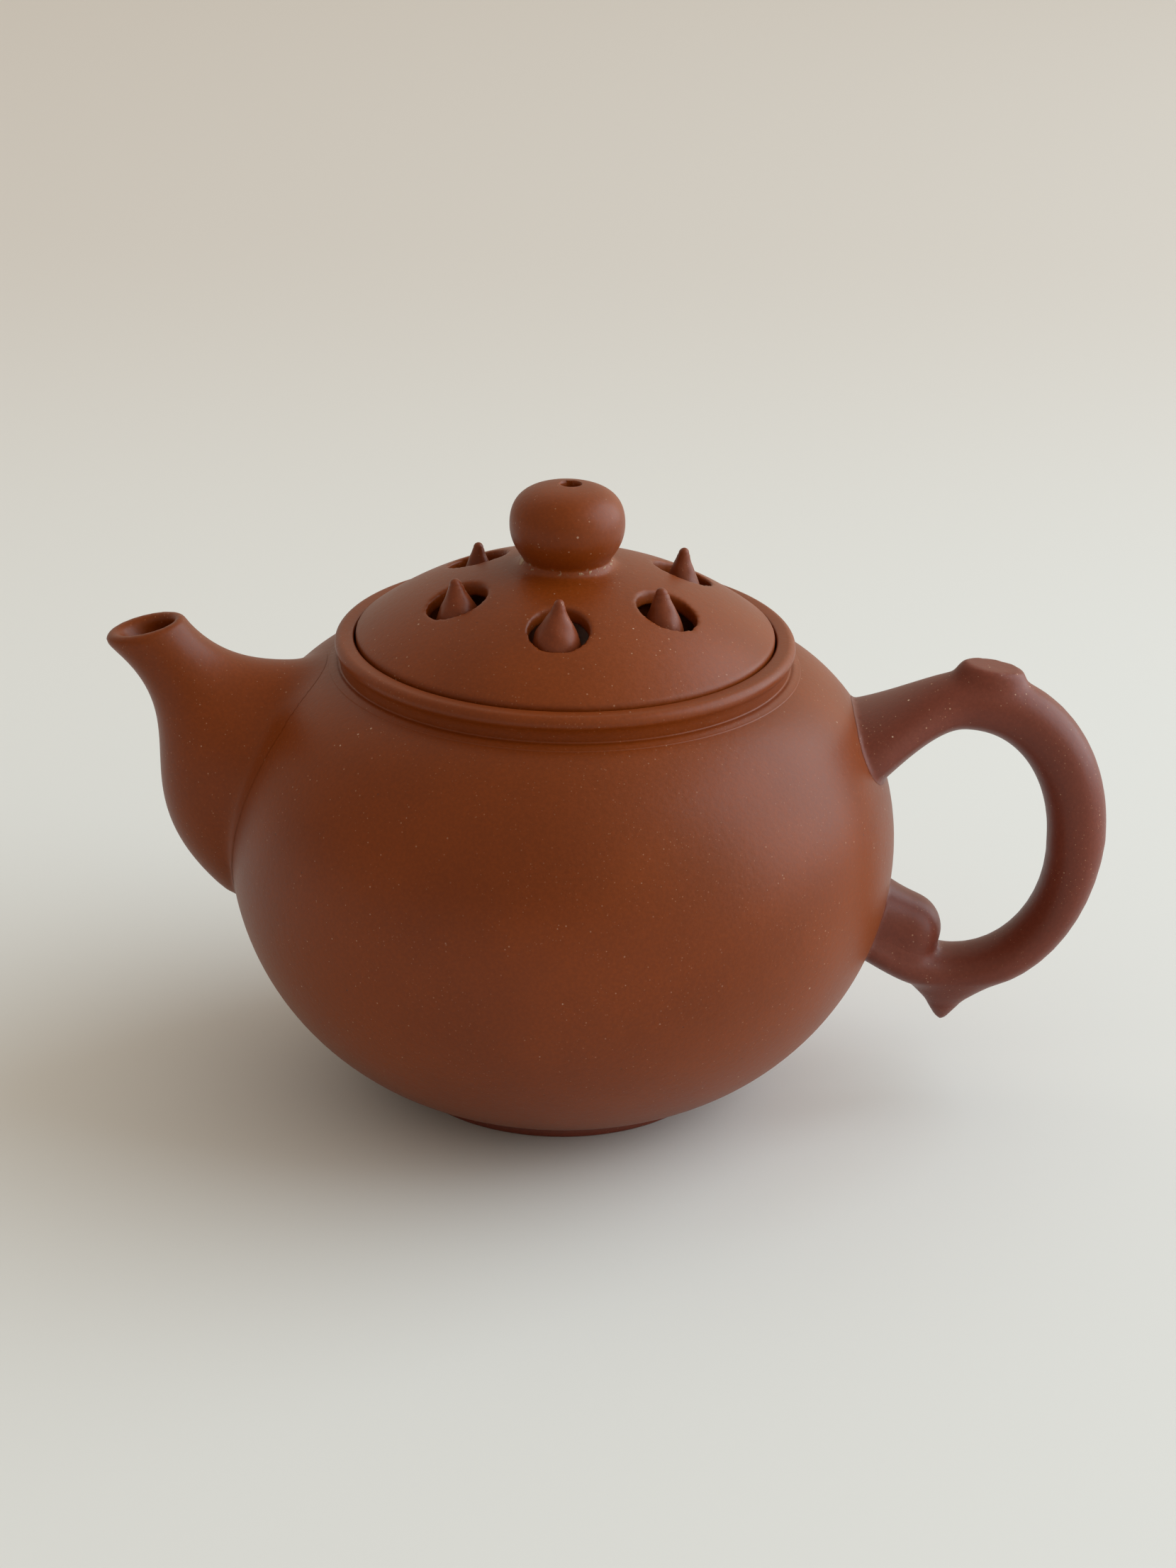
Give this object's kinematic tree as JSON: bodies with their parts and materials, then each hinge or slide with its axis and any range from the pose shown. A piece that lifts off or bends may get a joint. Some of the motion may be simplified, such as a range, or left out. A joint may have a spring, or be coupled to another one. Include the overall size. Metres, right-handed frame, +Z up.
{
  "type": "teapot",
  "caption": "Round unglazed clay teapot with a curved spout, a loop handle and a loose domed lid that carries pointed seeds in open holes.",
  "frame": {"origin": "middle of the foot ring, on the surface that the pot stands on", "axes": "+Z up, -X towards the spout, +X towards the handle, -Y towards the viewer of the picture"},
  "size_m": [0.165, 0.11, 0.1036],
  "materials": {
    "clay": "matte",
    "dark_clay": "matte",
    "seed_clay": "matte"
  },
  "bodies": {
    "pot": {"body_lower": "clay", "body_upper": "clay", "base_disc": "clay", "foot_ring": "dark_clay", "rim_ring": "clay", "lid_seat": "clay", "spout": "clay", "strainer": "clay", "handle": "dark_clay", "handle_lobe": "dark_clay"},
    "lid": {"lid_dome": "clay", "lid_flange": "clay", "seed_tray": "clay", "knob": "clay"},
    "seed_1": {"seed_1": "seed_clay"},
    "seed_2": {"seed_2": "seed_clay"},
    "seed_3": {"seed_3": "seed_clay"},
    "seed_4": {"seed_4": "seed_clay"},
    "seed_5": {"seed_5": "seed_clay"},
    "seed_6": {"seed_6": "seed_clay"}
  },
  "joints": [
    {"name": "lid_lift", "type": "slide", "parent": "pot", "child": "lid", "axis": [0, 0, 1], "range_m": [0, 0.04]},
    {"name": "seed_1_lift", "type": "slide", "parent": "lid", "child": "seed_1", "axis": [0, 0, 1], "range_m": [0, 0.0018]},
    {"name": "seed_2_lift", "type": "slide", "parent": "lid", "child": "seed_2", "axis": [0, 0, 1], "range_m": [0, 0.0018]},
    {"name": "seed_3_lift", "type": "slide", "parent": "lid", "child": "seed_3", "axis": [0, 0, 1], "range_m": [0, 0.0018]},
    {"name": "seed_4_lift", "type": "slide", "parent": "lid", "child": "seed_4", "axis": [0, 0, 1], "range_m": [0, 0.0018]},
    {"name": "seed_5_lift", "type": "slide", "parent": "lid", "child": "seed_5", "axis": [0, 0, 1], "range_m": [0, 0.0018]},
    {"name": "seed_6_lift", "type": "slide", "parent": "lid", "child": "seed_6", "axis": [0, 0, 1], "range_m": [0, 0.0018]}
  ]
}
